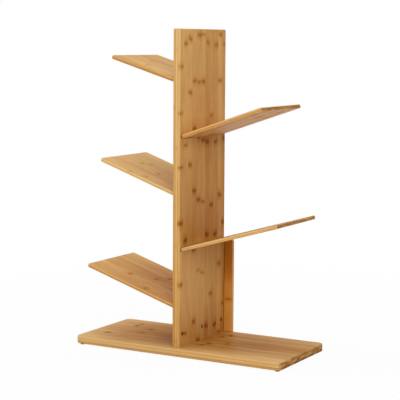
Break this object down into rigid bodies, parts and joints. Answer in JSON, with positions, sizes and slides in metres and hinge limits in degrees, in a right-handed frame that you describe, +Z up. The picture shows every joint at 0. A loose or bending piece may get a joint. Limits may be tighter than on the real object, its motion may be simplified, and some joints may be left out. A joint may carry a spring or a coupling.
{
  "type": "tree shaped bookshelf",
  "caption": "Tree-shaped bookshelf: an upright board on a flat base with a short rear brace, and thin shelf boards that branch out and slope up to the left and right.",
  "frame": {"origin": "on the floor, below the middle of the base, at the height of the undersides of the feet", "axes": "+Z up along the upright; +X along the base to the right, where the shelves are fewer; -Y towards the front, +Y towards the side of the brace"},
  "size_m": [0.514, 0.22, 0.709],
  "materials": {
    "base": "clear satin lacquer on flat-pressed bamboo",
    "upright": "clear satin lacquer on flat-pressed bamboo",
    "brace": "clear satin lacquer on bamboo",
    "shelf": "clear satin lacquer on flat-pressed bamboo",
    "dowel": "bare hardwood",
    "hardware": "zinc-plated steel",
    "foot": "matt dark brown rubber"
  },
  "bodies": {
    "root": {"base_board": "base", "upright_board": "upright", "rear_brace": "brace", "shelf_left_bottom": "shelf", "shelf_left_middle": "shelf", "shelf_left_top": "shelf", "shelf_right_bottom": "shelf", "shelf_right_top": "shelf", "shelf_dowel_left_bottom_front": "dowel", "shelf_dowel_left_bottom_rear": "dowel", "shelf_dowel_left_middle_front": "dowel", "shelf_dowel_left_middle_rear": "dowel", "shelf_dowel_left_top_front": "dowel", "shelf_dowel_left_top_rear": "dowel", "shelf_dowel_right_bottom_front": "dowel", "shelf_dowel_right_bottom_rear": "dowel", "shelf_dowel_right_top_front": "dowel", "shelf_dowel_right_top_rear": "dowel", "base_dowel_front": "dowel", "base_dowel_rear": "dowel", "base_bolt_front": "hardware", "base_bolt_middle": "hardware", "base_bolt_rear": "hardware", "barrel_nut_front": "hardware", "barrel_nut_middle": "hardware", "barrel_nut_rear": "hardware", "brace_screw_low": "hardware", "brace_screw_middle": "hardware", "brace_screw_high": "hardware", "brace_foot_screw_left": "hardware", "brace_foot_screw_right": "hardware", "foot_pad_front_left": "foot", "foot_pad_front_right": "foot", "foot_pad_rear_left": "foot", "foot_pad_rear_right": "foot"}
  },
  "joints": []
}
